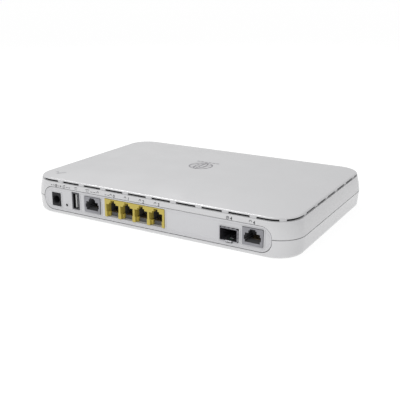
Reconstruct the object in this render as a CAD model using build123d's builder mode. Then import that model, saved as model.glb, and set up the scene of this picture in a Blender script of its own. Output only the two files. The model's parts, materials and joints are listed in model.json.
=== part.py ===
from build123d import *
import os

os.makedirs("parts", exist_ok=True)

# An optical network terminal: a flat two-shell case with a port panel along its front.
# Millimetres. The ports face -Y, +X is to the right seen from the ports, +Z is up, and the
# origin is under the middle of the case, on the surface that the feet stand on.

# ---------------------------------------------------------------- driving dimensions
case_width = 238.6
case_depth = 162.0
case_height = 32.6
corner_radius = 21.0  # plan radius at the seam
inner_radius = 14.0  # smallest plan radius of an inset outline
wall = 3.0  # how far the inside of the walls is from the seam outline
floor_thickness = 2.2
side_draft = 1.0  # how much more the short sides lean in above the seam than the long ones
base_draft = 0.5  # the same, below the seam

bottom_z = 0.7  # underside of the case; the feet stand proud of it
bottom_round = 3.8
seam_low = 14.95  # top edge of the lower housing
seam_high = 15.5  # bottom edge of the upper housing
groove_low = 27.9  # the shallow groove round the lid that holds the vents
groove_high = 29.6
groove_inset = 2.45
wall_top_inset = 1.55
lid_edge_inset = 1.95
lid_roll_inset = 4.45
lid_roll_z = 30.5

vent_pitch = 21.75
vent_length = 16.64
vent_low = 27.95
vent_height = 1.65

panel_x = -0.55
panel_z = 14.13
panel_width = 205.6
panel_height = 18.9
panel_radius = 8.4
panel_front = 80.3  # distance of the panel's face in front of the middle
panel_rim = 0.7
panel_slope = 1.8  # width of the sloping band between the rim and the recessed field
field_depth = 0.9
panel_thickness = 2.4
fit_gap = 0.4

board_low = 5.6
board_thickness = 1.6
board_top = board_low + board_thickness
board_half_width = 99.0
board_front = 74.0
board_back = 34.0
tongue_half_width = 45.0
tongue_back = 74.5

jack_width = 16.0
jack_bottom = 8.1
jack_height = 12.9
jack_front = 80.5
jack_cavity = 13.0  # depth of the space for the plug
jack_length = 17.2
mouth_sill = 2.2  # height of the metal under the jack's mouth
sheet_metal = 0.35
console_x = -53.3
wan_x = 87.9

lan_pitch = 13.5
lan_count = 4
lan_x = -12.75
lan_width = 55.5
lan_low = 7.7
lan_top = 22.3
lan_front = 80.6
lan_back = 64.0
lan_opening = 11.8

sfp_x = 69.3
sfp_width = 14.2
sfp_bottom = 8.35
sfp_height = 9.4
sfp_front = 81.0
sfp_back = 32.0
tab_width = 5.2
tab_slot_width = 5.9
tab_root = 70.4
tab_root_gap = 0.3

dc_x = -91.2
dc_width = 9.3
dc_low = 7.8
dc_top = 19.0
dc_axis_z = 13.4
dc_bore_r = 3.15
dc_pin_r = 1.0

usb_x = -70.7
usb_z = 15.05
usb_width = 5.9
usb_height = 13.2
usb_front = 79.9
usb_length = 13.5

reset_x = -80.6
reset_z = 9.9
reset_hole_r = 1.2
plunger_r = 0.95
plunger_gap = 0.1
reset_front = 77.0
reset_travel = 0.4

boss_points = [(-106, -50), (106, -50), (-106, 50), (106, 50)]
boss_top_z = 11.0
screw_seat_z = 6.0
foot_points = [(-101, -68.5), (101, -68.5), (-101, 68.5), (101, 68.5)]
foot_radius = 6.0
foot_recess = 0.4
keyhole_spacing = 110.0
keyhole_y = 52.0
keyhole_r = 4.0
keyhole_slot_r = 2.1
keyhole_travel = 8.0
board_screw_points = [(-92, -30), (92, -30), (-92, 27), (92, 27), (-38, 66), (38, 66)]

led_pitch = 13.0
led_count = 6
led_y = 71.0
guide_size = 2.4
guide_z = 20.0

chip_x = -12.0
chip_y = -8.0
sink_size = 44.0


# ---------------------------------------------------------------- shared outlines
def outline(inset, z, draft=0.0):
    """The case's rounded outline at height z, drawn in from the seam line by inset.

    The short sides come in by draft more.
    """
    with BuildSketch(Plane.XY.offset(z)) as sketch:
        RectangleRounded(
            case_width - 2 * (inset + draft),
            case_depth - 2 * inset,
            max(corner_radius - inset, inner_radius),
        )
    return sketch.sketch


def panel_outline(growth, distance):
    """The round-ended outline of the port panel, grown all round, at a distance in front."""
    with BuildSketch(Plane.XZ.offset(distance)) as sketch:
        with Locations((panel_x, panel_z)):
            RectangleRounded(
                panel_width + 2 * growth,
                panel_height + 2 * growth,
                panel_radius + growth,
            )
    return sketch.sketch


def front_box(x_low, x_high, z_low, z_high, y_front, y_back):
    """A box given by its sides, for the ports: y_front and y_back count forwards."""
    box = Box(x_high - x_low, y_front - y_back, z_high - z_low, mode=Mode.PRIVATE)
    centre = ((x_low + x_high) / 2, -(y_front + y_back) / 2, (z_low + z_high) / 2)
    return Pos(*centre) * box


def jack_opening(x):
    """The stepped mouth of a modular jack with its latch notch on top, as a sketch."""
    mouth_low = jack_bottom + mouth_sill
    # each step of the mouth: its width, and the heights of its bottom and top over the sill
    steps = [(11.6, 0, 6.9), (13.2, 1.8, 4.9), (6.4, 6.9, 8.9), (4.3, 8.9, 9.9)]
    with BuildSketch(Plane.XZ.offset(jack_front + 1)) as sketch:
        for step_width, step_low, step_high in steps:
            with Locations((x, mouth_low + (step_low + step_high) / 2)):
                Rectangle(step_width, step_high - step_low)
    return sketch.sketch


def lan_centres():
    """Middle of each LAN jack along X, left to right."""
    return [lan_x + lan_pitch * (n - (lan_count - 1) / 2) for n in range(lan_count)]


def led_centres():
    """Middle of each status light along X, left to right."""
    return [led_pitch * (n - (led_count - 1) / 2) for n in range(led_count)]


pieces = {}

# ---------------------------------------------------------------- lower housing
lip_inset = wall + 0.2
lip_thickness = 1.2
lip_height = 2.0
lip_root = 3.0

with BuildPart() as lower_housing:
    loft([outline(0.62, bottom_z, base_draft), outline(0, seam_low)], ruled=True)
    fillet(lower_housing.faces().sort_by(Axis.Z)[0].edges(), bottom_round)
    extrude(
        outline(wall, bottom_z + floor_thickness),
        amount=seam_low,
        mode=Mode.SUBTRACT,
    )
    # the inner lip that locates the upper housing
    extrude(outline(wall, seam_low - lip_root), amount=lip_root)
    extrude(outline(lip_inset, seam_low), amount=lip_height)
    extrude(
        outline(lip_inset + lip_thickness, seam_low - lip_root),
        amount=lip_root + lip_height,
        mode=Mode.SUBTRACT,
    )
    # bosses: tall ones for the case screws, short ones under the board
    with BuildSketch(Plane.XY.offset(bottom_z + floor_thickness)):
        with Locations(*boss_points):
            Circle(4.2)
    extrude(amount=boss_top_z - bottom_z - floor_thickness)
    with BuildSketch(Plane.XY.offset(bottom_z + floor_thickness)):
        with Locations(*board_screw_points):
            Circle(3.0)
    extrude(amount=board_low - bottom_z - floor_thickness)
    with BuildSketch(Plane.XY.offset(bottom_z)):
        with Locations(*boss_points):
            Circle(3.1)
    extrude(amount=screw_seat_z - bottom_z, mode=Mode.SUBTRACT)
    with BuildSketch(Plane.XY.offset(bottom_z)):
        with Locations(*boss_points):
            Circle(1.7)
    extrude(amount=boss_top_z, mode=Mode.SUBTRACT)
    with BuildSketch(Plane.XY.offset(bottom_z + 1.0)):
        with Locations(*board_screw_points):
            Circle(1.45)
    extrude(amount=board_low - bottom_z, mode=Mode.SUBTRACT)
    # recesses for the feet
    with BuildSketch(Plane.XY.offset(bottom_z)):
        with Locations(*foot_points):
            Circle(foot_radius + 0.2)
    extrude(amount=foot_recess, mode=Mode.SUBTRACT)
    # keyholes for hanging the case on two wall screws
    with BuildSketch(Plane.XY.offset(bottom_z)):
        with GridLocations(keyhole_spacing, 0, 2, 1):
            with Locations((0, keyhole_y)):
                Circle(keyhole_r)
            with Locations((0, keyhole_y + keyhole_travel / 2)):
                Rectangle(2 * keyhole_slot_r, keyhole_travel)
            with Locations((0, keyhole_y + keyhole_travel)):
                Circle(keyhole_slot_r)
    extrude(amount=floor_thickness, mode=Mode.SUBTRACT)
    # cooling slots in the floor, under the board and behind it
    with BuildSketch(Plane.XY.offset(bottom_z)):
        for row_y in (-36, -18, 0, 18):
            with Locations((0, row_y)):
                with GridLocations(8.0, 0, 15, 1):
                    SlotOverall(12.0, 2.0, rotation=90)
    extrude(amount=floor_thickness, mode=Mode.SUBTRACT)
    # the lower half of the panel opening
    extrude(panel_outline(fit_gap, case_depth / 2 + 1), amount=-12, mode=Mode.SUBTRACT)

pieces["lower_housing"] = lower_housing

# ---------------------------------------------------------------- upper housing
crown_sections = [(14.0, 31.35), (28.0, 32.2), (46.0, case_height)]
lip_room_z = 18.5  # the inside is wider below here, for the lower housing's lip
inside_inset = 3.4  # the inside above its step, behind the vents
inside_step_z = 26.5
inside_top_z = 29.4
side_x = case_width / 2 - side_draft - corner_radius
side_y = case_depth / 2 - corner_radius
vent_reach = 5.2
vent_middle = 3.6  # inset of the middle of each vent's reach through the wall
groove_radius = corner_radius - groove_inset
degrees_per_mm = 57.2958 / groove_radius


def vent_sketch():
    """Plan of the vent slots: equal dashes all round the groove."""
    front_y = case_depth / 2 - vent_middle
    end_x = case_width / 2 - side_draft - vent_middle
    arc_radius = corner_radius - vent_middle
    gap = vent_pitch - vent_length
    shoulder = (4.5 * vent_pitch - vent_length / 2, 4.5 * vent_pitch + vent_length / 2)
    corner_angle = (shoulder[1] + gap - side_x) * degrees_per_mm
    with BuildSketch(Plane.XY.offset(vent_low)) as sketch:
        with GridLocations(vent_pitch, 2 * front_y, 8, 2):
            Rectangle(vent_length, vent_reach)
        with GridLocations(2 * end_x, vent_pitch, 2, 5):
            Rectangle(vent_reach, vent_length)
        with BuildLine():
            Line((shoulder[0], -front_y), (side_x, -front_y))
            CenterArc(
                (side_x, -side_y),
                arc_radius,
                -90,
                (shoulder[1] - side_x) * degrees_per_mm,
            )
        trace(line_width=vent_reach)
        with BuildLine():
            CenterArc((side_x, -side_y), arc_radius, corner_angle - 90, 90 - corner_angle)
            Line((end_x, -side_y), (end_x, -2.5 * vent_pitch - gap / 2))
        trace(line_width=vent_reach)
        mirror(about=Plane.YZ)
        mirror(about=Plane.XZ)
    return sketch.sketch


with BuildPart() as upper_housing:
    loft(
        [
            outline(0, seam_high),
            outline(0.6, 22.7, 0.55 * side_draft),
            outline(wall_top_inset, groove_low, side_draft),
        ]
    )
    extrude(outline(groove_inset, groove_low, side_draft), amount=groove_high - groove_low)
    loft(
        [
            outline(lid_edge_inset, groove_high, side_draft),
            outline(2.6, 30.15, side_draft),
            outline(lid_roll_inset, lid_roll_z, side_draft),
        ]
    )
    loft(
        [outline(lid_roll_inset, lid_roll_z, side_draft)]
        + [outline(inset, z, side_draft) for inset, z in crown_sections]
    )
    # hollow inside: wide round the lip, then stepping in below the groove and the crown
    extrude(outline(wall, seam_high), amount=lip_room_z - seam_high, mode=Mode.SUBTRACT)
    extrude(
        outline(wall, seam_high, side_draft),
        amount=inside_step_z - seam_high,
        mode=Mode.SUBTRACT,
    )
    extrude(
        outline(inside_inset, inside_step_z, side_draft),
        amount=inside_top_z - inside_step_z,
        mode=Mode.SUBTRACT,
    )
    loft(
        [outline(7.0, inside_top_z, side_draft), outline(40.0, 30.6, side_draft)],
        ruled=True,
        mode=Mode.SUBTRACT,
    )
    extrude(vent_sketch(), amount=vent_height, mode=Mode.SUBTRACT)
    # bosses that the case screws enter
    with BuildSketch(Plane.XY.offset(11.2)):
        with Locations(*boss_points):
            Circle(3.4)
    extrude(amount=18.6)
    with BuildSketch(Plane.XY.offset(11.2)):
        with Locations(*boss_points):
            Circle(1.55)
    extrude(amount=11.0, mode=Mode.SUBTRACT)
    # windows for the status lights, in the back wall
    for led in led_centres():
        add(
            front_box(
                led - guide_size / 2 - 0.2,
                led + guide_size / 2 + 0.2,
                guide_z - guide_size / 2 - 0.2,
                guide_z + guide_size / 2 + 0.2,
                -76.0,
                -82.0,
            ),
            mode=Mode.SUBTRACT,
        )
    # the upper half of the panel opening
    extrude(panel_outline(fit_gap, case_depth / 2 + 1), amount=-12, mode=Mode.SUBTRACT)

pieces["upper_housing"] = upper_housing

# ---------------------------------------------------------------- vent baffle
baffle_inset = 4.0
baffle_sheet = 0.8
baffle_low = 24.6

# a strip all round behind the vents: drips stop at it, and air passes below it
with BuildPart() as vent_baffle:
    extrude(outline(baffle_inset, baffle_low, side_draft), amount=inside_top_z - baffle_low)
    extrude(
        outline(baffle_inset + baffle_sheet, baffle_low, side_draft),
        amount=inside_top_z - baffle_low,
        mode=Mode.SUBTRACT,
    )

pieces["vent_baffle"] = vent_baffle

# ---------------------------------------------------------------- port panel
field_front = panel_front - field_depth
panel_back = panel_front - panel_thickness
frame_wall = 0.9
frame_height = 0.4  # of the raised frames round the ports, over the field
window_gap = 0.2
spring_room = 0.4  # extra room round the SFP cage for its spring fingers
notch_low = 6.5  # bottom of the notch that the SFP cage's locking tab swings in
sill_back = 76.1
sill_thickness = 0.7
hook_low = 8.9
hook_high = 11.7
hook_front = 76.0
hook_back = 74.6
pocket_r = 2.4  # the panel is thin in a round pocket behind the pinhole
pinhole_depth = 0.6

windows = [
    (dc_x - dc_width / 2, dc_x + dc_width / 2, dc_low, dc_top),
    (usb_x - 3.75, usb_x + 3.75, usb_z - 7.15, usb_z + 7.15),
    (
        console_x - jack_width / 2,
        console_x + jack_width / 2,
        jack_bottom,
        jack_bottom + jack_height,
    ),
    (lan_x - lan_width / 2, lan_x + lan_width / 2, lan_low, lan_top),
    (
        sfp_x - sfp_width / 2 - spring_room,
        sfp_x + sfp_width / 2 + spring_room,
        sfp_bottom - spring_room,
        sfp_bottom + sfp_height + spring_room,
    ),
    (
        wan_x - jack_width / 2,
        wan_x + jack_width / 2,
        jack_bottom,
        jack_bottom + jack_height,
    ),
]

with BuildPart() as port_panel:
    extrude(panel_outline(0, panel_front), amount=-panel_thickness)
    chamfer(port_panel.faces().sort_by(Axis.Y)[0].edges(), 0.2)
    # recessed field, with a sloping band between it and the rim
    loft(
        [
            panel_outline(-panel_rim, panel_front),
            panel_outline(-panel_rim - panel_slope, field_front),
        ],
        ruled=True,
        mode=Mode.SUBTRACT,
    )
    # a thin raised frame round each port
    for x_low, x_high, z_low, z_high in windows:
        frame = front_box(
            x_low - window_gap - frame_wall,
            x_high + window_gap + frame_wall,
            z_low - window_gap - frame_wall / 2,
            z_high + window_gap + frame_wall / 2,
            field_front + frame_height,
            panel_back,
        )
        add(frame & extrude(panel_outline(-panel_rim, panel_front), amount=-1.5, mode=Mode.PRIVATE))
    for x_low, x_high, z_low, z_high in windows:
        add(
            front_box(
                x_low - window_gap,
                x_high + window_gap,
                z_low - window_gap,
                z_high + window_gap,
                panel_front + 1,
                panel_back - 1,
            ),
            mode=Mode.SUBTRACT,
        )
    # notch under the SFP window, where the locking tab swings
    add(
        front_box(
            sfp_x - tab_slot_width / 2,
            sfp_x + tab_slot_width / 2,
            notch_low,
            sfp_bottom + 1,
            panel_front + 1,
            panel_back - 1,
        ),
        mode=Mode.SUBTRACT,
    )
    # sill that closes the gap under the LAN jacks
    add(
        front_box(
            lan_x - lan_width / 2,
            lan_x + lan_width / 2,
            lan_low - window_gap - sill_thickness,
            lan_low - window_gap,
            panel_back + 0.5,
            sill_back,
        )
    )
    # pinhole over the reset button, with a small raised ring round it
    with BuildSketch(Plane.XZ.offset(field_front)):
        with Locations((reset_x, reset_z)):
            Circle(reset_hole_r + 0.6)
    extrude(amount=0.25)
    with BuildSketch(Plane.XZ.offset(panel_front)):
        with Locations((reset_x, reset_z)):
            Circle(reset_hole_r)
    extrude(amount=-panel_thickness - 1, mode=Mode.SUBTRACT)
    with BuildSketch(Plane.XZ.offset(field_front - pinhole_depth)):
        with Locations((reset_x, reset_z)):
            Circle(pocket_r)
    extrude(amount=-panel_thickness, mode=Mode.SUBTRACT)
    # hooked tabs at both ends that hold the panel behind the housing's wall
    for side in (-1, 1):
        end_x = panel_x + side * panel_width / 2
        hook = [end_x - side * 3.0, end_x - side * 1.4, end_x + side * 2.6]
        neck = sorted(hook[:2])
        plate = sorted([hook[0], hook[2]])
        add(front_box(neck[0], neck[1], hook_low, hook_high, panel_back + 0.5, hook_back))
        add(front_box(plate[0], plate[1], hook_low, hook_high, hook_front, hook_back))

pieces["port_panel"] = port_panel

# ---------------------------------------------------------------- feet and fasteners
with BuildPart() as rubber_feet:
    with BuildSketch():
        with Locations(*foot_points):
            Circle(foot_radius)
    extrude(amount=bottom_z + foot_recess)
    fillet(rubber_feet.faces().group_by(Axis.Z)[0].edges(), 0.45)

pieces["rubber_feet"] = rubber_feet

with BuildPart() as case_screws:
    with BuildSketch(Plane.XY.offset(screw_seat_z - 2.0)):
        with Locations(*boss_points):
            Circle(2.7)
    extrude(amount=2.0)
    with BuildSketch(Plane.XY.offset(screw_seat_z)):
        with Locations(*boss_points):
            Circle(1.5)
    extrude(amount=14.0)
    with BuildSketch(Plane.XY.offset(screw_seat_z - 2.0)):
        with Locations(*boss_points):
            Rectangle(3.0, 0.8)
            Rectangle(0.8, 3.0)
    extrude(amount=1.1, mode=Mode.SUBTRACT)

pieces["case_screws"] = case_screws

with BuildPart() as board_screws:
    with BuildSketch(Plane.XY.offset(bottom_z + 1.4)):
        with Locations(*board_screw_points):
            Circle(1.4)
    extrude(amount=board_top - bottom_z - 1.4)
    with BuildSketch(Plane.XY.offset(board_top)):
        with Locations(*board_screw_points):
            Circle(2.6)
    extrude(amount=1.7)
    with BuildSketch(Plane.XY.offset(board_top + 0.7)):
        with Locations(*board_screw_points):
            Rectangle(2.8, 0.7)
            Rectangle(0.7, 2.8)
    extrude(amount=1.0, mode=Mode.SUBTRACT)

pieces["board_screws"] = board_screws

# ---------------------------------------------------------------- main board
with BuildPart() as main_board:
    with BuildSketch(Plane.XY.offset(board_low)):
        with BuildLine():
            Polyline(
                (-board_half_width, -board_front),
                (board_half_width, -board_front),
                (board_half_width, board_back),
                (tongue_half_width, board_back),
                (tongue_half_width, tongue_back),
                (-tongue_half_width, tongue_back),
                (-tongue_half_width, board_back),
                (-board_half_width, board_back),
                close=True,
            )
        make_face()
        with Locations(*board_screw_points):
            Circle(1.6, mode=Mode.SUBTRACT)
    extrude(amount=board_thickness)

pieces["main_board"] = main_board

# ---------------------------------------------------------------- DC power jack
dc_front = 79.9
dc_back = 66.0
dc_bore_depth = 10.0
dc_pin_recess = 4.2

with BuildPart() as dc_jack_housing:
    add(
        front_box(
            dc_x - dc_width / 2 + 0.2,
            dc_x + dc_width / 2 - 0.2,
            board_top,
            dc_top - 0.2,
            panel_back - 0.5,
            dc_back,
        )
    )
    # the nose that reaches into the panel's window
    add(
        front_box(
            dc_x - dc_width / 2 + 0.2,
            dc_x + dc_width / 2 - 0.2,
            dc_low + 0.2,
            dc_top - 0.2,
            dc_front,
            panel_back - 0.5,
        )
    )
    with BuildSketch(Plane.XZ.offset(dc_front)):
        with Locations((dc_x, dc_axis_z)):
            Circle(dc_bore_r)
    extrude(amount=-dc_bore_depth, mode=Mode.SUBTRACT)
    with BuildSketch(Plane.XZ.offset(dc_front)):
        with Locations((dc_x, dc_axis_z)):
            Circle(dc_bore_r + 0.6)
    extrude(amount=-0.4, mode=Mode.SUBTRACT)
    with BuildSketch(Plane.XZ.offset(dc_front)):
        with Locations((dc_x, dc_axis_z)):
            Circle(dc_pin_r)
    extrude(amount=-dc_front + dc_back, mode=Mode.SUBTRACT)

pieces["dc_jack_housing"] = dc_jack_housing

with BuildPart() as dc_jack_pin:
    with BuildSketch(Plane.XZ.offset(dc_front - dc_pin_recess)):
        with Locations((dc_x, dc_axis_z)):
            Circle(dc_pin_r)
    extrude(amount=-(dc_front - dc_pin_recess - dc_back + 1.0))
    fillet(dc_jack_pin.faces().sort_by(Axis.Y)[0].edges(), 0.4)

pieces["dc_jack_pin"] = dc_jack_pin

with BuildPart() as dc_jack_terminals:
    for offset_x in (-3.0, 3.0):
        add(
            front_box(
                dc_x + offset_x - 1.1,
                dc_x + offset_x + 1.1,
                board_top,
                dc_axis_z,
                dc_back,
                dc_back - 0.3,
            )
        )

pieces["dc_jack_terminals"] = dc_jack_terminals

# ---------------------------------------------------------------- reset switch
switch_front = 74.8
switch_back = 70.8
plunger_back = 71.6

with BuildPart() as reset_switch_body:
    add(
        front_box(
            reset_x - 2.8,
            reset_x + 2.8,
            board_top,
            reset_z + 2.2,
            switch_front,
            switch_back,
        )
    )
    with BuildSketch(Plane.XZ.offset(switch_front)):
        with Locations((reset_x, reset_z)):
            Circle(plunger_r + plunger_gap)
    extrude(
        amount=-(switch_front - plunger_back + reset_travel + 0.1),
        mode=Mode.SUBTRACT,
    )

pieces["reset_switch_body"] = reset_switch_body

with BuildPart() as reset_button:
    with BuildSketch(Plane.XZ.offset(reset_front)):
        with Locations((reset_x, reset_z)):
            Circle(plunger_r)
    extrude(amount=-(reset_front - plunger_back))
    fillet(reset_button.faces().sort_by(Axis.Y)[0].edges(), 0.25)

pieces["reset_button"] = reset_button

# ---------------------------------------------------------------- USB port
usb_back = usb_front - usb_length
flare = 0.7
flange_rise = 0.45
tongue_x = usb_x + 0.3
tongue_width = 1.1
tongue_height = 11.0

with BuildPart() as usb_shell:
    add(
        front_box(
            usb_x - usb_width / 2,
            usb_x + usb_width / 2,
            usb_z - usb_height / 2,
            usb_z + usb_height / 2,
            usb_front,
            usb_back,
        )
    )
    add(
        front_box(
            usb_x - usb_width / 2 - flare,
            usb_x + usb_width / 2 + flare,
            usb_z - usb_height / 2 - flange_rise,
            usb_z + usb_height / 2 + flange_rise,
            usb_front,
            usb_front - 0.3,
        )
    )
    # feet that stand on the board
    for foot_y in (74.0, 68.5):
        for side in (-1, 1):
            foot_x = usb_x + side * (usb_width - sheet_metal) / 2
            add(
                front_box(
                    foot_x - sheet_metal / 2,
                    foot_x + sheet_metal / 2,
                    board_top,
                    usb_z - usb_height / 2 + sheet_metal,
                    foot_y,
                    foot_y - 1.5,
                )
            )
    add(
        front_box(
            usb_x - usb_width / 2 + sheet_metal,
            usb_x + usb_width / 2 - sheet_metal,
            usb_z - usb_height / 2 + sheet_metal,
            usb_z + usb_height / 2 - sheet_metal,
            usb_front + 1,
            usb_back + sheet_metal,
        ),
        mode=Mode.SUBTRACT,
    )

pieces["usb_shell"] = usb_shell

with BuildPart() as usb_tongue:
    add(
        front_box(
            tongue_x - tongue_width / 2,
            tongue_x + tongue_width / 2,
            usb_z - tongue_height / 2,
            usb_z + tongue_height / 2,
            usb_front - 0.4,
            usb_back + 3.4,
        )
    )
    chamfer(usb_tongue.faces().sort_by(Axis.Y)[0].edges(), 0.2)
    add(
        front_box(
            usb_x - usb_width / 2 + sheet_metal,
            usb_x + usb_width / 2 - sheet_metal,
            usb_z - usb_height / 2 + sheet_metal,
            usb_z + usb_height / 2 - sheet_metal,
            usb_back + 3.4,
            usb_back + sheet_metal,
        )
    )

pieces["usb_tongue"] = usb_tongue

with BuildPart() as usb_contacts:
    for contact in range(4):
        contact_z = usb_z + 2.3 * (contact - 1.5)
        add(
            front_box(
                tongue_x - tongue_width / 2 - 0.2,
                tongue_x - tongue_width / 2,
                contact_z - 0.5,
                contact_z + 0.5,
                usb_front - 2.0,
                usb_back + 3.4,
            )
        )

pieces["usb_contacts"] = usb_contacts


# ---------------------------------------------------------------- shielded jacks
def jack_shield(x):
    """The folded steel can of a shielded modular jack, open at its back."""
    with BuildPart() as shield:
        add(
            front_box(
                x - jack_width / 2,
                x + jack_width / 2,
                jack_bottom,
                jack_bottom + jack_height,
                jack_front,
                jack_front - jack_length,
            )
        )
        edges = shield.edges().filter_by(Axis.Y)
        fillet(edges, 0.4)
        add(
            front_box(
                x - jack_width / 2 + sheet_metal,
                x + jack_width / 2 - sheet_metal,
                jack_bottom + sheet_metal,
                jack_bottom + jack_height - sheet_metal,
                jack_front - sheet_metal,
                jack_front - jack_length - 1,
            ),
            mode=Mode.SUBTRACT,
        )
        extrude(jack_opening(x), amount=-3, mode=Mode.SUBTRACT)
        for side in (-1, 1):
            add(
                front_box(
                    x + side * (jack_width / 2 - sheet_metal / 2) - sheet_metal / 2,
                    x + side * (jack_width / 2 - sheet_metal / 2) + sheet_metal / 2,
                    board_top,
                    jack_bottom + 1,
                    70.0,
                    68.0,
                )
            )
    return shield


def jack_insert(x):
    """The plastic body inside a shielded jack, hollowed where the plug goes."""
    with BuildPart() as insert:
        add(
            front_box(
                x - jack_width / 2 + sheet_metal,
                x + jack_width / 2 - sheet_metal,
                jack_bottom + sheet_metal,
                jack_bottom + jack_height - sheet_metal,
                jack_front - sheet_metal,
                jack_front - jack_length,
            )
        )
        extrude(jack_opening(x), amount=-jack_cavity - 1, mode=Mode.SUBTRACT)
    return insert


def contact_row(x):
    """Eight sloping spring contacts that rise towards the back of a jack."""
    y_back = jack_front - jack_cavity
    y_front = y_back + 5.0
    z_low = jack_bottom + mouth_sill
    with BuildPart() as contacts:
        for contact in range(8):
            wire_x = x + 1.02 * (contact - 3.5)
            with BuildSketch(Plane.YZ.offset(wire_x - 0.2)):
                with BuildLine():
                    Polyline(
                        (-y_front, z_low + 0.05),
                        (-y_back, z_low + 1.4),
                        (-y_back, z_low + 1.8),
                        (-y_front, z_low + 0.45),
                        close=True,
                    )
                make_face()
            extrude(amount=0.4)
    return contacts


console_shield = jack_shield(console_x)
console_insert = jack_insert(console_x)
console_contacts = contact_row(console_x)
wan_shield = jack_shield(wan_x)
wan_insert = jack_insert(wan_x)
wan_contacts = contact_row(wan_x)

pieces["console_jack_shield"] = console_shield
pieces["console_jack_insert"] = console_insert
pieces["console_jack_contacts"] = console_contacts
pieces["wan_jack_shield"] = wan_shield
pieces["wan_jack_insert"] = wan_insert
pieces["wan_jack_contacts"] = wan_contacts

# ---------------------------------------------------------------- LAN jacks
shoulder_z = 18.2
lan_steps = [(6.4, 1.5), (3.6, 1.9)]
lan_roof = 0.7
liner_front = 74.4  # the yellow wall in front of here; the black liner behind it
liner_back = 66.7
liner_half = 6.25
liner_wall = 0.35
carrier_top = 10.4  # top of the black carrier under the contacts
carrier_front = 76.0
rail_width = 1.7
rail_top = 11.3
rail_front = 78.0
ledge_width = 0.5
ledge_top = 12.3

with BuildPart() as lan_jack_housing:
    for z_low, y_front, y_back in (
        (lan_low, lan_front, carrier_front),
        (board_top, carrier_front, lan_back),
    ):
        add(
            front_box(
                lan_x - lan_width / 2,
                lan_x + lan_width / 2,
                z_low,
                lan_top,
                y_front,
                y_back,
            )
        )
    for jack_x in lan_centres():
        with BuildSketch(Plane.XZ.offset(lan_front + 1)):
            with Locations((jack_x, (board_top + shoulder_z) / 2)):
                Rectangle(lan_opening, shoulder_z - board_top)
            step_z = shoulder_z
            for step_width, step_height in lan_steps:
                with Locations((jack_x, step_z + step_height / 2)):
                    Rectangle(step_width, step_height)
                step_z += step_height
        extrude(amount=-(lan_front + 1 - liner_front), mode=Mode.SUBTRACT)
        add(
            front_box(
                jack_x - liner_half,
                jack_x + liner_half,
                board_top,
                lan_top - lan_roof,
                liner_front,
                liner_back,
            ),
            mode=Mode.SUBTRACT,
        )
        # narrow ledges at the mouth, and wider rails behind them
        for width, height, y_front, y_back in (
            (ledge_width, ledge_top, lan_front, rail_front),
            (rail_width, rail_top, rail_front, carrier_front),
        ):
            for side in (-1, 1):
                rail_x = jack_x + side * (lan_opening - width) / 2
                add(
                    front_box(
                        rail_x - width / 2,
                        rail_x + width / 2,
                        lan_low,
                        height,
                        y_front,
                        y_back,
                    )
                )

pieces["lan_jack_housing"] = lan_jack_housing

with BuildPart() as lan_jack_inserts:
    for jack_x in lan_centres():
        add(
            front_box(
                jack_x - liner_half,
                jack_x + liner_half,
                board_top,
                lan_top - lan_roof,
                liner_front,
                liner_back,
            )
        )
        add(
            front_box(
                jack_x - liner_half + liner_wall,
                jack_x + liner_half - liner_wall,
                carrier_top,
                lan_top - lan_roof - liner_wall,
                liner_front + 1,
                liner_back + 0.9,
            ),
            mode=Mode.SUBTRACT,
        )
        add(
            front_box(
                jack_x - lan_opening / 2 + 0.05,
                jack_x + lan_opening / 2 - 0.05,
                board_top,
                carrier_top,
                carrier_front,
                liner_front,
            )
        )

pieces["lan_jack_inserts"] = lan_jack_inserts

with BuildPart() as lan_jack_contacts:
    for jack_x in lan_centres():
        for contact in range(8):
            wire_x = jack_x + 1.02 * (contact - 3.5)
            with BuildSketch(Plane.YZ.offset(wire_x - 0.2)):
                with BuildLine():
                    Polyline(
                        (-75.2, carrier_top),
                        (-67.6, carrier_top + 1.3),
                        (-67.6, carrier_top + 1.7),
                        (-75.2, carrier_top + 0.4),
                        close=True,
                    )
                make_face()
            extrude(amount=0.4)

pieces["lan_jack_contacts"] = lan_jack_contacts

# ---------------------------------------------------------------- SFP cage
sfp_left = sfp_x - sfp_width / 2
sfp_right = sfp_x + sfp_width / 2
sfp_top = sfp_bottom + sfp_height

with BuildPart() as sfp_cage:
    add(front_box(sfp_left, sfp_right, sfp_bottom, sfp_top, sfp_front, sfp_back))
    add(
        front_box(
            sfp_left + sheet_metal,
            sfp_right - sheet_metal,
            sfp_bottom + sheet_metal,
            sfp_top - sheet_metal,
            sfp_front + 1,
            sfp_back + sheet_metal,
        ),
        mode=Mode.SUBTRACT,
    )
    # slot in the floor round the locking tab
    add(
        front_box(
            sfp_x - tab_slot_width / 2,
            sfp_x + tab_slot_width / 2,
            sfp_bottom - 1,
            sfp_bottom + 1,
            sfp_front + 1,
            tab_root - tab_root_gap,
        ),
        mode=Mode.SUBTRACT,
    )
    # vent holes in the roof
    with BuildSketch(Plane.XY.offset(sfp_top - 1)):
        with Locations((sfp_x, -50)):
            with GridLocations(3.2, 3.2, 4, 8):
                Circle(0.9)
    extrude(amount=2, mode=Mode.SUBTRACT)
    # feet that stand on the board
    for foot_y in (72.0, 56.0, 40.0):
        for side in (-1, 1):
            foot_x = sfp_x + side * (sfp_width / 2 - 0.5)
            add(
                front_box(
                    foot_x - 0.5,
                    foot_x + 0.5,
                    board_top,
                    sfp_bottom + 0.2,
                    foot_y,
                    foot_y - 1.5,
                )
            )

pieces["sfp_cage"] = sfp_cage

tab_tip = 80.8
tab_lip = 0.6

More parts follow.
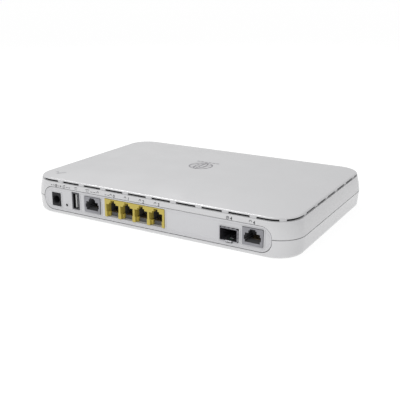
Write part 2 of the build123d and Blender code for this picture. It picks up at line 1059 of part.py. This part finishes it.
with BuildPart() as sfp_latch_tab:
    with BuildSketch(Plane.YZ.offset(sfp_x - tab_width / 2)):
        with BuildLine():
            Polyline(
                (-tab_root, sfp_bottom),
                (-tab_root, sfp_bottom + sheet_metal),
                (-tab_tip, sfp_bottom + sheet_metal),
                (-tab_tip - 0.55, sfp_bottom - tab_lip + 0.1),
                (-tab_tip - 0.3, sfp_bottom - tab_lip),
                (-tab_tip + 0.1, sfp_bottom),
                close=True,
            )
        make_face()
    extrude(amount=tab_width)
    with BuildSketch(Plane.XY.offset(sfp_bottom - 1)):
        with Locations((sfp_x, -76.6)):
            Rectangle(2.6, 3.0)
    extrude(amount=2, mode=Mode.SUBTRACT)

pieces["sfp_latch_tab"] = sfp_latch_tab

spring_width = 2.3
spring_sheet = 0.15
# the bent side view of a spring finger: distance in front, and height over the cage's wall
spring_bend = [
    (75.0, 0),
    (75.0, spring_sheet),
    (79.2, 0.5),
    (80.7, 0.2),
    (80.7, 0.05),
    (79.2, 0.5 - spring_sheet),
    (75.8, 0),
]

with BuildPart() as sfp_spring_fingers:
    for offset_x in (-4.8, -1.6, 1.6, 4.8):
        with BuildSketch(Plane.YZ.offset(sfp_x + offset_x - spring_width / 2)):
            with BuildLine():
                Polyline([(-front, sfp_top + rise) for front, rise in spring_bend], close=True)
            make_face()
        extrude(amount=spring_width)
    for side, wall_x in ((-1, sfp_left), (1, sfp_right)):
        for offset_z in (-2.9, 0, 2.9):
            spring_z = sfp_bottom + sfp_height / 2 + offset_z
            with BuildSketch(Plane.XY.offset(spring_z - spring_width / 2)):
                with BuildLine():
                    side_bend = [(wall_x + side * rise, -front) for front, rise in spring_bend]
                    Polyline(side_bend, close=True)
                make_face()
            extrude(amount=spring_width)

pieces["sfp_spring_fingers"] = sfp_spring_fingers

with BuildPart() as sfp_connector:
    add(
        front_box(
            sfp_x - 5.6,
            sfp_x + 5.6,
            sfp_bottom + sheet_metal,
            sfp_bottom + 6.0,
            41.0,
            sfp_back + sheet_metal,
        )
    )
    add(
        front_box(sfp_x - 4.6, sfp_x + 4.6, sfp_bottom + 2.6, sfp_bottom + 3.8, 42.0, 36.0),
        mode=Mode.SUBTRACT,
    )

pieces["sfp_connector"] = sfp_connector

# ---------------------------------------------------------------- chips and heat sink
soc_height = 2.0
pad_height = 0.8
base_height = 2.2
fin_height = 9.0
fin_count = 10

with BuildPart() as main_processor:
    with BuildSketch(Plane.XY.offset(board_top)):
        with Locations((chip_x, chip_y)):
            Rectangle(23, 23)
    extrude(amount=soc_height)
    chamfer(main_processor.faces().sort_by(Axis.Z)[-1].edges(), 0.3)

pieces["main_processor"] = main_processor

with BuildPart() as thermal_pad:
    with BuildSketch(Plane.XY.offset(board_top + soc_height)):
        with Locations((chip_x, chip_y)):
            Rectangle(20, 20)
    extrude(amount=pad_height)

pieces["thermal_pad"] = thermal_pad

with BuildPart() as heat_sink:
    with BuildSketch(Plane.XY.offset(board_top + soc_height + pad_height)):
        with Locations((chip_x, chip_y)):
            Rectangle(sink_size, sink_size)
    extrude(amount=base_height)
    with BuildSketch(Plane.XY.offset(board_top + soc_height + pad_height + base_height)):
        with Locations((chip_x, chip_y)):
            with GridLocations((sink_size - 1.2) / (fin_count - 1), 0, fin_count, 1):
                Rectangle(1.2, sink_size)
    extrude(amount=fin_height)

pieces["heat_sink"] = heat_sink


def block_group(points, size_x, size_y, size_z, edge=0.2):
    """Identical rectangular components standing on the board."""
    with BuildPart() as group:
        with BuildSketch(Plane.XY.offset(board_top)):
            with Locations(*points):
                Rectangle(size_x, size_y)
        extrude(amount=size_z)
        chamfer(group.faces().group_by(Axis.Z)[-1].edges(), edge)
    return group


pieces["memory_chips"] = block_group([(28, -14), (28, 2)], 13.0, 9.0, 1.1)
pieces["flash_chip"] = block_group([(-50, 12)], 18.4, 12.0, 1.2)
pieces["network_chips"] = block_group([(-14, -42), (72, -14)], 12.0, 12.0, 0.9)
pieces["magnetics_modules"] = block_group([(-28, -55), (0, -55)], 25.0, 9.5, 5.6, 0.4)
pieces["power_inductors"] = block_group([(-66, -34), (-66, -18), (-82, -16)], 8.0, 8.0, 4.2, 0.8)

with BuildPart() as capacitors:
    with BuildSketch(Plane.XY.offset(board_top)):
        with Locations((-82, -44), (-70, -46), (-82, 4), (-70, 0)):
            Circle(4.0)
    extrude(amount=11.5)
    fillet(capacitors.faces().group_by(Axis.Z)[-1].edges(), 0.5)

pieces["capacitors"] = capacitors

with BuildPart() as clock_crystal:
    with BuildSketch(Plane.XY.offset(board_top)):
        with Locations((12, -34)):
            SlotOverall(10.6, 4.4)
    extrude(amount=3.4)
    fillet(clock_crystal.faces().sort_by(Axis.Z)[-1].edges(), 0.6)

pieces["clock_crystal"] = clock_crystal

# ---------------------------------------------------------------- status lights
guide_low = 8.3
guide_back = 80.3
bar_low = 13.0
bar_height = 1.6

with BuildPart() as status_leds:
    with BuildSketch(Plane.XY.offset(board_top)):
        with Locations(*[(led, led_y) for led in led_centres()]):
            Rectangle(1.6, 1.6)
    extrude(amount=0.8)

pieces["status_leds"] = status_leds

with BuildPart() as light_guide:
    for led in led_centres():
        with BuildSketch(Plane.YZ.offset(led - guide_size / 2)):
            with BuildLine():
                Polyline(
                    (led_y - guide_size / 2, guide_low),
                    (led_y + guide_size / 2, guide_low),
                    (led_y + guide_size / 2, guide_z - guide_size / 2),
                    (guide_back, guide_z - guide_size / 2),
                    (guide_back, guide_z + guide_size / 2),
                    (led_y + guide_size / 2, guide_z + guide_size / 2),
                    (led_y - guide_size / 2, guide_z - guide_size / 2),
                    close=True,
                )
            make_face()
        extrude(amount=guide_size)
    # the bar that joins the guides, and a leg at each end that stands on the board
    bar_half = led_pitch * (led_count - 1) / 2 + 5.0
    for x_low, x_high, z_low in (
        (-bar_half, bar_half, bar_low),
        (-bar_half, -bar_half + guide_size, board_top),
        (bar_half - guide_size, bar_half, board_top),
    ):
        add(
            front_box(
                x_low,
                x_high,
                z_low,
                bar_low + bar_height,
                -led_y + guide_size / 2,
                -led_y - guide_size / 2,
            )
        )

pieces["light_guide"] = light_guide

# ---------------------------------------------------------------- one file for each piece
for name, piece in pieces.items():
    piece.part.label = name
    export_step(piece.part, f"parts/{name}.step")
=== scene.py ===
import json
from math import cos, radians, sin, sqrt

import bmesh
import bpy
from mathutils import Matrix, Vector
from mathutils.bvhtree import BVHTree


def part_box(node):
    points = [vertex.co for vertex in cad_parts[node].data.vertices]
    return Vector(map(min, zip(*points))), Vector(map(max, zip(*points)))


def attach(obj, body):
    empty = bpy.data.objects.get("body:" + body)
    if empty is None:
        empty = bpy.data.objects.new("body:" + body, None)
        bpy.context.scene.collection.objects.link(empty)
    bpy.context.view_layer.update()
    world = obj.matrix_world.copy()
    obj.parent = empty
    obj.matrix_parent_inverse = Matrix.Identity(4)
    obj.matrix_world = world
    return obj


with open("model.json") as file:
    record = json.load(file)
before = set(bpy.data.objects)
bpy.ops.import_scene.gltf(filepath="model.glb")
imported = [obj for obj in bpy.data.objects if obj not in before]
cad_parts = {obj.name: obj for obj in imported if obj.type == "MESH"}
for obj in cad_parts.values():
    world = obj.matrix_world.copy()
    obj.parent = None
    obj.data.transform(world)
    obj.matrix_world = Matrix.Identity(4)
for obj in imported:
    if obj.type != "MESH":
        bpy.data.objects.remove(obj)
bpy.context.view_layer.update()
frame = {"nodes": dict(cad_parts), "record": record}

MM = 0.001
CHASSIS = "chassis"
LAN_COUNT = 4


# ---------------------------------------------------------------- camera
VIEW_AZIMUTH = radians(30.16)
VIEW_ELEVATION = radians(17.75)
VIEW_DISTANCE = 0.5487
VIEW_TARGET = Vector((0.0047, -0.0094, 0.0086))
VIEW_LENS = 58.34


def place_camera():
    """A camera at the photograph's viewing angle, aimed a little in front of the case's middle."""
    towards_camera = Vector(
        (
            sin(VIEW_AZIMUTH) * cos(VIEW_ELEVATION),
            -cos(VIEW_AZIMUTH) * cos(VIEW_ELEVATION),
            sin(VIEW_ELEVATION),
        )
    )
    data = bpy.data.cameras.new("camera")
    data.lens = VIEW_LENS
    data.sensor_width = 36.0
    data.clip_start = 0.01
    camera = bpy.data.objects.new("camera", data)
    camera.location = VIEW_TARGET + towards_camera * VIEW_DISTANCE
    camera.rotation_euler = towards_camera.to_track_quat("Z", "Y").to_euler()
    bpy.context.scene.collection.objects.link(camera)
    bpy.context.scene.camera = camera


# ---------------------------------------------------------------- light and floor
WORLD_STRENGTH = 0.50
# each light: its name, where it stands in metres, its side in metres and its power in watts
LIGHTS = [
    ("window", (-0.60, 0.50, 0.98), 0.6, 7.4),
    ("front_fill", (0.00, -0.92, 0.86), 0.7, 5.0),
]
FLOOR_HALF = 60.0
FLOOR_GLOW = 0.86


def area_light(name, location, size, power):
    """A square soft light that faces the middle of the case."""
    data = bpy.data.lights.new(name, "AREA")
    data.shape = "SQUARE"
    data.size = size
    data.energy = power
    light = bpy.data.objects.new(name, data)
    light.location = location
    light.rotation_euler = Vector(location).to_track_quat("Z", "Y").to_euler()
    bpy.context.scene.collection.objects.link(light)


def light_the_studio():
    scene = bpy.context.scene
    scene.view_settings.view_transform = "Standard"
    world = bpy.data.worlds.new("studio")
    world.use_nodes = True
    background = world.node_tree.nodes["Background"]
    background.inputs["Color"].default_value = (1.0, 1.0, 1.0, 1.0)
    background.inputs["Strength"].default_value = WORLD_STRENGTH
    scene.world = world
    for name, location, size, power in LIGHTS:
        area_light(name, location, size, power)


def make_floor():
    """A pale floor, lit like a light table, so that it bounces light under the case."""
    mesh = bpy.data.meshes.new("floor")
    half = FLOOR_HALF
    corners = [(-half, -half, 0), (half, -half, 0), (half, half, 0), (-half, half, 0)]
    mesh.from_pydata(corners, [], [(0, 1, 2, 3)])
    floor = bpy.data.objects.new("floor", mesh)
    bpy.context.scene.collection.objects.link(floor)
    material = bpy.data.materials.new("floor_white")
    material.use_nodes = True
    shader = material.node_tree.nodes["Principled BSDF"]
    shader.inputs["Base Color"].default_value = (0.2, 0.2, 0.2, 1.0)
    shader.inputs["Roughness"].default_value = 0.9
    shader.inputs["Emission Color"].default_value = (1.0, 1.0, 1.0, 1.0)
    shader.inputs["Emission Strength"].default_value = FLOOR_GLOW
    mesh.materials.append(material)


# ---------------------------------------------------------------- material building blocks
class Material:
    """A Principled material with short calls for the procedural nodes that feed it."""

    def __init__(self, name, roughness=0.5, metallic=0.0, specular=0.5):
        self.material = bpy.data.materials.new(name)
        self.material.use_nodes = True
        self.tree = self.material.node_tree
        self.shader = self.tree.nodes["Principled BSDF"]
        self.shader.inputs["Metallic"].default_value = metallic
        self.shader.inputs["Roughness"].default_value = roughness
        self.shader.inputs["Specular IOR Level"].default_value = specular
        coordinates = self.tree.nodes.new("ShaderNodeTexCoord")
        self.place = coordinates.outputs["Object"]

    def noise(self, scale, detail=2.0, roughness=0.5, stretch=(1, 1, 1)):
        mapping = self.tree.nodes.new("ShaderNodeMapping")
        mapping.inputs["Scale"].default_value = stretch
        node = self.tree.nodes.new("ShaderNodeTexNoise")
        node.inputs["Scale"].default_value = scale
        node.inputs["Detail"].default_value = detail
        node.inputs["Roughness"].default_value = roughness
        self.tree.links.new(self.place, mapping.inputs["Vector"])
        self.tree.links.new(mapping.outputs["Vector"], node.inputs["Vector"])
        return node.outputs["Fac"]

    def cells(self, scale, feature="F1"):
        node = self.tree.nodes.new("ShaderNodeTexVoronoi")
        node.feature = feature
        node.inputs["Scale"].default_value = scale
        self.tree.links.new(self.place, node.inputs["Vector"])
        return node.outputs["Distance"]

    def spread(self, value, low, high, from_low=0.3, from_high=0.7):
        node = self.tree.nodes.new("ShaderNodeMapRange")
        node.inputs["From Min"].default_value = from_low
        node.inputs["From Max"].default_value = from_high
        node.inputs["To Min"].default_value = low
        node.inputs["To Max"].default_value = high
        self.tree.links.new(value, node.inputs["Value"])
        return node.outputs["Result"]

    def ramp(self, value, *stops):
        node = self.tree.nodes.new("ShaderNodeValToRGB")
        elements = node.color_ramp.elements
        while len(elements) < len(stops):
            elements.new(0.5)
        for element, (position, colour) in zip(elements, stops):
            element.position = position
            element.color = (*colour, 1.0)
        self.tree.links.new(value, node.inputs["Fac"])
        return node.outputs["Color"]

    def bump(self, height, strength, distance, under=None):
        node = self.tree.nodes.new("ShaderNodeBump")
        node.inputs["Strength"].default_value = strength
        node.inputs["Distance"].default_value = distance
        self.tree.links.new(height, node.inputs["Height"])
        if under is not None:
            self.tree.links.new(under, node.inputs["Normal"])
        return node.outputs["Normal"]

    def feed(self, **sockets):
        for name, value in sockets.items():
            self.tree.links.new(value, self.shader.inputs[name.replace("_", " ")])
        return self.material


def tint(colour, factor):
    return tuple(min(1.0, channel * factor) for channel in colour)


def moulded_plastic(name, colour, roughness, grain=0.05, variation=0.03, specular=0.5):
    """Spark-eroded moulding: a fine even grain, faint flow marks and slightly uneven gloss."""
    m = Material(name, roughness, specular=specular)
    flow = m.noise(9.0, 3.0)
    fine = m.noise(2600.0, 2.0)
    pits = m.cells(1500.0)
    under = m.bump(pits, grain, 0.00006)
    return m.feed(
        Base_Color=m.ramp(
            flow,
            (0.30, tint(colour, 1.0 - variation)),
            (0.70, tint(colour, 1.0 + variation)),
        ),
        Roughness=m.spread(m.noise(38.0, 4.0), roughness - 0.04, roughness + 0.05),
        Normal=m.bump(fine, grain, 0.00004, under),
    )


def rolled_metal(name, colour, roughness, along="Y"):
    """Plated sheet: fine rolling lines one way, with cloudy patches in the plating."""
    m = Material(name, roughness, metallic=1.0)
    stretch = {"X": (4, 120, 120), "Y": (120, 4, 120), "Z": (120, 120, 4)}[along]
    lines = m.noise(30.0, 3.0, stretch=stretch)
    clouds = m.noise(160.0, 4.0)
    return m.feed(
        Base_Color=m.ramp(clouds, (0.3, tint(colour, 0.88)), (0.7, tint(colour, 1.06))),
        Roughness=m.spread(lines, roughness - 0.08, roughness + 0.1),
        Normal=m.bump(lines, 0.08, 0.00003),
    )


def black_resin(name, colour, roughness, specular=0.5):
    """Filled epoxy or nylon: near black with pale flecks of filler."""
    m = Material(name, roughness, specular=specular)
    flecks = m.noise(5200.0, 1.0)
    return m.feed(
        Base_Color=m.ramp(flecks, (0.55, colour), (0.80, tint(colour, 2.2))),
        Roughness=m.spread(m.noise(300.0, 3.0), roughness - 0.05, roughness + 0.08),
        Normal=m.bump(flecks, 0.1, 0.00003),
    )


def board_laminate(name):
    """Solder mask over copper: paler tracks in a darker green, with a slight weave."""
    m = Material(name, 0.35)
    tracks = m.cells(240.0, "DISTANCE_TO_EDGE")
    weave = m.noise(900.0, 2.0)
    return m.feed(
        Base_Color=m.ramp(
            tracks, (0.05, (0.05, 0.26, 0.12)), (0.09, (0.015, 0.11, 0.05))
        ),
        Roughness=m.spread(weave, 0.28, 0.42),
        Normal=m.bump(tracks, 0.2, 0.00003),
    )


def soft_rubber(name, colour):
    m = Material(name, 0.75, specular=0.3)
    grain = m.noise(1800.0, 4.0)
    return m.feed(
        Base_Color=m.ramp(grain, (0.3, tint(colour, 0.85)), (0.7, tint(colour, 1.1))),
        Roughness=m.spread(m.noise(120.0, 3.0), 0.66, 0.84),
        Normal=m.bump(grain, 0.25, 0.00006),
    )


def clear_plastic(name, colour):
    m = Material(name, 0.22)
    m.shader.inputs["Transmission Weight"].default_value = 0.75
    m.shader.inputs["IOR"].default_value = 1.49
    haze = m.noise(220.0, 3.0)
    return m.feed(
        Base_Color=m.ramp(haze, (0.3, tint(colour, 0.93)), (0.7, colour)),
        Roughness=m.spread(haze, 0.15, 0.34),
        Normal=m.bump(m.noise(700.0, 2.0), 0.05, 0.00003),
    )


def printed_ink(name, colour):
    """Pad-printed ink: slightly uneven where it is thin."""
    m = Material(name, 0.55, specular=0.3)
    film = m.noise(900.0, 4.0)
    return m.feed(
        Base_Color=m.ramp(film, (0.3, tint(colour, 1.15)), (0.65, colour)),
        Roughness=m.spread(film, 0.45, 0.62),
        Normal=m.bump(film, 0.08, 0.00002),
    )


CASE_WHITE = (0.62, 0.62, 0.63)
PANEL_GREY = (0.575, 0.575, 0.59)

MATERIALS = {
    "case_plastic": moulded_plastic("case_plastic", CASE_WHITE, 0.20, 0.03, 0.012, 0.6),
    "panel_plastic": moulded_plastic("panel_plastic", PANEL_GREY, 0.46, 0.06, 0.015),
    "foot_rubber": soft_rubber("foot_rubber", (0.42, 0.42, 0.43)),
    "screw_steel": rolled_metal("screw_steel", (0.56, 0.56, 0.55), 0.32, "Z"),
    "board_laminate": board_laminate("board_laminate"),
    "black_plastic": black_resin("black_plastic", (0.012, 0.012, 0.014), 0.5, 0.25),
    "insert_plastic": moulded_plastic("insert_plastic", (0.10, 0.10, 0.105), 0.55, 0.08, 0.05, 0.4),
    "plated_contact": rolled_metal("plated_contact", (0.70, 0.69, 0.67), 0.25),
    "button_plastic": moulded_plastic("button_plastic", (0.5, 0.5, 0.51), 0.45),
    "plated_steel": rolled_metal("plated_steel", (0.30, 0.30, 0.32), 0.45, "Z"),
    "dark_steel": rolled_metal("dark_steel", (0.13, 0.13, 0.14), 0.4, "Z"),
    "spring_steel": rolled_metal("spring_steel", (0.52, 0.52, 0.54), 0.34, "Y"),
    "white_plastic": moulded_plastic("white_plastic", (0.50, 0.50, 0.50), 0.4),
    "gold_contact": rolled_metal("gold_contact", (0.62, 0.45, 0.20), 0.3),
    "yellow_plastic": moulded_plastic("yellow_plastic", (0.50, 0.40, 0.075), 0.45, 0.08, 0.04),
    "chip_epoxy": black_resin("chip_epoxy", (0.022, 0.022, 0.024), 0.5),
    "pad_silicone": soft_rubber("pad_silicone", (0.32, 0.42, 0.55)),
    "sink_aluminium": rolled_metal("sink_aluminium", (0.66, 0.66, 0.67), 0.38, "Y"),
    "capacitor_can": rolled_metal("capacitor_can", (0.50, 0.50, 0.52), 0.4, "Z"),
    "led_lens": clear_plastic("led_lens", (0.85, 0.88, 0.80)),
    "guide_clear": clear_plastic("guide_clear", (0.90, 0.92, 0.93)),
}
INK = printed_ink("legend_ink", (0.055, 0.055, 0.06))
SILVER_INK = printed_ink("emblem_ink", (0.25, 0.245, 0.26))
PALE_INK = printed_ink("corner_ink", (0.33, 0.33, 0.34))


SMOOTH_ANGLE = radians(28.0)


def dress_cad_nodes():
    """Every CAD node takes the material of its slot, and shades smoothly across small angles."""
    for entry in frame["record"]["subparts"]:
        node = frame["nodes"][entry["node"]]
        material = MATERIALS[entry["material_slot"]]
        for slot in node.material_slots:
            slot.material = material
        if not node.material_slots:
            node.data.materials.append(material)
        node.data.polygons.foreach_set("use_smooth", [True] * len(node.data.polygons))
        node.data.set_sharp_from_angle(angle=SMOOTH_ANGLE)


# ---------------------------------------------------------------- printed marks
def surface(node):
    """A ray-casting tree of a CAD node's faces."""
    mesh = frame["nodes"][node].data
    corners = [vertex.co.copy() for vertex in mesh.vertices]
    return BVHTree.FromPolygons(corners, [tuple(face.vertices) for face in mesh.polygons])


def stroke(points, width, closed=False):
    """A flat mitred ribbon along 2-D points, as a list of quads of 2-D corners."""
    count = len(points)
    left, right = [], []
    for n, point in enumerate(points):
        here = Vector(point)
        before = Vector(points[n - 1]) if n or closed else None
        after = Vector(points[(n + 1) % count]) if n < count - 1 or closed else None
        arriving = (here - before).normalized() if before is not None else None
        leaving = (after - here).normalized() if after is not None else None
        arriving = leaving if arriving is None else arriving
        leaving = arriving if leaving is None else leaving
        across = Vector((-arriving.y, arriving.x)) + Vector((-leaving.y, leaving.x))
        across.normalize()
        mitre = max(0.4, across.dot(Vector((-arriving.y, arriving.x))))
        reach = across * (width / 2 / mitre)
        left.append(here + reach)
        right.append(here - reach)
    quads = []
    for n in range(count if closed else count - 1):
        after = (n + 1) % count
        quads.append([right[n], right[after], left[after], left[n]])
    return quads


def arc(centre, radius, start, end, steps=24, squash=1.0):
    """Points on an arc, in degrees, squashed sideways for a globe's meridians."""
    points = []
    for n in range(steps + 1):
        angle = radians(start + (end - start) * n / steps)
        points.append(
            (centre[0] + radius * squash * cos(angle), centre[1] + radius * sin(angle))
        )
    return points


def ring(centre, radius, width, squash=1.0, steps=36):
    return stroke(arc(centre, radius, 0, 360, steps, squash)[:-1], width, closed=True)


def disc(centre, radius, steps=20):
    rim = arc(centre, radius, 0, 360, steps)[:-1]
    return [[Vector(point) for point in rim]]


def plate(x, y, width, height):
    return [
        [
            Vector((x - width / 2, y - height / 2)),
            Vector((x + width / 2, y - height / 2)),
            Vector((x + width / 2, y + height / 2)),
            Vector((x - width / 2, y + height / 2)),
        ]
    ]


# ink is laid down in millimetres
LINE = 0.42  # width of a printed line
NUMERAL_WEIGHT = 0.07  # how far the outline of a numeral is swollen
DIGIT_HEIGHT = 0.7  # height of a digit in parts of the font's size
MERGE_DISTANCE = 0.002
FRONT_FILM = 0.03  # thickness of the ink over the ports
LID_FILM = 0.02


def numeral(text, x, y, height):
    """A printed number as flat faces, centred at x with its foot at y."""
    curve = bpy.data.curves.new("numeral", "FONT")
    curve.body = text
    curve.align_x = "CENTER"
    curve.size = height / DIGIT_HEIGHT
    curve.resolution_u = 4
    curve.offset = NUMERAL_WEIGHT
    holder = bpy.data.objects.new("numeral", curve)
    mesh = bpy.data.meshes.new_from_object(holder)
    faces = []
    for face in mesh.polygons:
        corners = [mesh.vertices[n].co for n in face.vertices]
        faces.append([Vector((x + corner.x, y + corner.y)) for corner in corners])
    bpy.data.meshes.remove(mesh)
    bpy.data.objects.remove(holder)
    bpy.data.curves.remove(curve)
    return faces


def print_on(name, faces, tree, to_ray, material, film):
    """Lays flat faces, in millimetres, onto a CAD surface as a thin closed film of ink."""
    build = bmesh.new()
    for face in faces:
        corners = []
        for point in face:
            origin, direction = to_ray(point)
            hit = tree.ray_cast(origin, direction)[0]
            corners.append(build.verts.new(hit - direction * film * MM))
        build.faces.new(corners)
    bmesh.ops.remove_doubles(build, verts=build.verts, dist=MERGE_DISTANCE * MM)
    bmesh.ops.recalc_face_normals(build, faces=build.faces)
    bmesh.ops.solidify(build, geom=build.faces[:], thickness=film * MM)
    bmesh.ops.recalc_face_normals(build, faces=build.faces)
    mesh = bpy.data.meshes.new(name)
    build.to_mesh(mesh)
    build.free()
    mesh.materials.append(material)
    piece = bpy.data.objects.new(name, mesh)
    bpy.context.scene.collection.objects.link(piece)
    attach(piece, CHASSIS)


def front_ray(point):
    """A ray from in front of the case towards the point (x, z) of its front."""
    return Vector((point.x * MM, -0.2, point.y * MM)), Vector((0, 1, 0))


def top_ray(point):
    """A ray from above the case down to the point (x, y) of its lid."""
    return Vector((point.x * MM, point.y * MM, 0.1)), Vector((0, 0, -1))


def socket_sign(x, y, size):
    """A network socket: a square outline with the latch step on top."""
    half = size / 2
    step = half * 0.45
    shoulder = y + size * 0.66
    outline = [
        (x - half, y),
        (x + half, y),
        (x + half, shoulder),
        (x + step, shoulder),
        (x + step, y + size),
        (x - step, y + size),
        (x - step, shoulder),
        (x - half, shoulder),
    ]
    return stroke(outline, LINE * 0.8, closed=True)


def middle_x(node):
    low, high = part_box(node)
    return (low.x + high.x) / 2 / MM


def rectangle(x, y, width, height):
    """The outline of an upright rectangle, centred at x with its foot at y."""
    corners = [
        (x - width / 2, y),
        (x + width / 2, y),
        (x + width / 2, y + height),
        (x - width / 2, y + height),
    ]
    return stroke(corners, LINE, closed=True)


def dash(x_low, x_high, y):
    return stroke([(x_low, y), (x_high, y)], LINE)


def polarity_sign(x, y):
    """The polarity of the power jack: a ring round a dot, with dashes and a cross beside it."""
    marks = ring((x, y), 1.0, LINE)
    marks += disc((x, y), 0.45)
    marks += dash(x - 3.6, x - 1.7, y)
    marks += dash(x + 1.7, x + 3.4, y)
    marks += dash(x - 5.6, x - 4.3, y)
    cross_x = x + 4.8
    marks += plate(cross_x, y, 1.5, LINE)
    marks += plate(cross_x, y + 0.5, LINE, 0.55)
    marks += plate(cross_x, y - 0.5, LINE, 0.55)
    return marks


def restart_sign(x, y):
    """A turning arrow with two dashes after it."""
    marks = stroke(arc((x, y), 0.95, 60, 350), LINE)
    tip = Vector((x + 0.5, y + 0.85))
    marks += [[tip + Vector((0.8, 0.2)), tip + Vector((-0.15, 0.6)), tip + Vector((-0.1, -0.55))]]
    marks += dash(x + 2.1, x + 4.1, y)
    marks += dash(x + 4.8, x + 6.7, y)
    return marks


def plug_sign(x, foot, height):
    """An upright plug with its two contacts."""
    centre = foot + height / 2
    marks = rectangle(x, foot, 2.7, height)
    marks += plate(x - 0.5, centre, 0.45, 0.6) + plate(x + 0.5, centre, 0.45, 0.6)
    return marks


def console_sign(x, foot, height):
    """A screen with a prompt, two dashes and a socket."""
    centre = foot + height / 2
    prompt = [(x - 1.1, centre + 0.5), (x - 0.5, centre), (x - 1.1, centre - 0.5)]
    marks = rectangle(x, foot, 3.8, height)
    marks += stroke(prompt, LINE * 0.8)
    marks += dash(x + 0.1, x + 1.1, centre - 0.45)
    marks += dash(x + 3.0, x + 5.3, centre)
    marks += dash(x + 6.1, x + 8.3, centre)
    marks += socket_sign(x + 10.4, foot, height)
    return marks


def print_port_legends():
    """Plain signs above the ports: polarity, restart, plug, screen, sockets and numbers."""
    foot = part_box("port_panel")[1].z / MM + 0.5
    height = 2.4
    centre = foot + height / 2
    marks = polarity_sign(middle_x("dc_jack_housing") + 0.6, centre)
    marks += restart_sign(middle_x("reset_button") - 1.8, centre)
    marks += plug_sign(middle_x("usb_shell") + 0.8, foot, height)
    marks += console_sign(middle_x("console_jack_shield") - 4.7, foot, height)
    # the LAN sockets are numbered, with two dashes before the first
    low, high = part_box("lan_jack_housing")
    pitch = (high.x - low.x) / LAN_COUNT / MM
    for n in range(LAN_COUNT):
        jack_x = low.x / MM + pitch * (n + 0.5)
        marks += socket_sign(jack_x - 1.2, foot, height)
        marks += numeral(str(n), jack_x + 1.9, foot, height)
    lead_x = low.x / MM + pitch / 2 - 4.4
    marks += dash(lead_x, lead_x + 1.7, centre) + dash(lead_x - 2.6, lead_x - 0.8, centre)
    # the SFP and WAN ports share the next number
    next_number = str(LAN_COUNT)
    port_x = middle_x("sfp_cage")
    marks += ring((port_x - 1.2, centre), 1.0, LINE) + disc((port_x - 1.2, centre), 0.35)
    marks += numeral(next_number, port_x + 1.6, foot, height)
    port_x = middle_x("wan_jack_shield") - 0.8
    marks += socket_sign(port_x - 1.3, foot, height)
    marks += numeral(next_number, port_x + 1.6, foot, height)
    print_on("port_legends", marks, surface("upper_housing"), front_ray, INK, FRONT_FILM)


def print_lid_emblem():
    """A plain globe of rings on the lid, in silver-grey, with a row of blocks behind it."""
    centre = (-6.0, 10.5)
    radius = 10.0
    line = 1.2
    marks = ring(centre, radius, line, steps=56)
    marks += ring(centre, radius, line, 0.42, steps=48)
    marks += plate(centre[0], centre[1], line, 2 * radius)
    steps = 8
    for lift in (-0.5, 0.0, 0.5):
        reach = radius * sqrt(1 - lift * lift)
        y = centre[1] + lift * radius
        points = [(centre[0] - reach + 2 * reach * n / steps, y) for n in range(steps + 1)]
        marks += stroke(points, line)
    block_pitch, block_count = 3.8, 6
    for n in range(block_count):
        block_x = centre[0] + block_pitch * (n - (block_count - 1) / 2)
        marks += plate(block_x, centre[1] + 12.9, 2.8, 2.0)
    print_on("lid_emblem", marks, surface("upper_housing"), top_ray, SILVER_INK, LID_FILM)


def print_corner_mark():
    """A plain chevron near the lid's front left corner."""
    x, y = -100.0, -64.5
    marks = stroke([(x - 5.0, y + 2.4), (x, y - 2.4), (x + 5.0, y + 2.4)], 2.2)
    print_on("corner_mark", marks, surface("upper_housing"), top_ray, PALE_INK, LID_FILM)


def finish_scene():
    place_camera()
    light_the_studio()
    make_floor()
    dress_cad_nodes()
    print_port_legends()
    print_lid_emblem()
    print_corner_mark()


finish_scene()
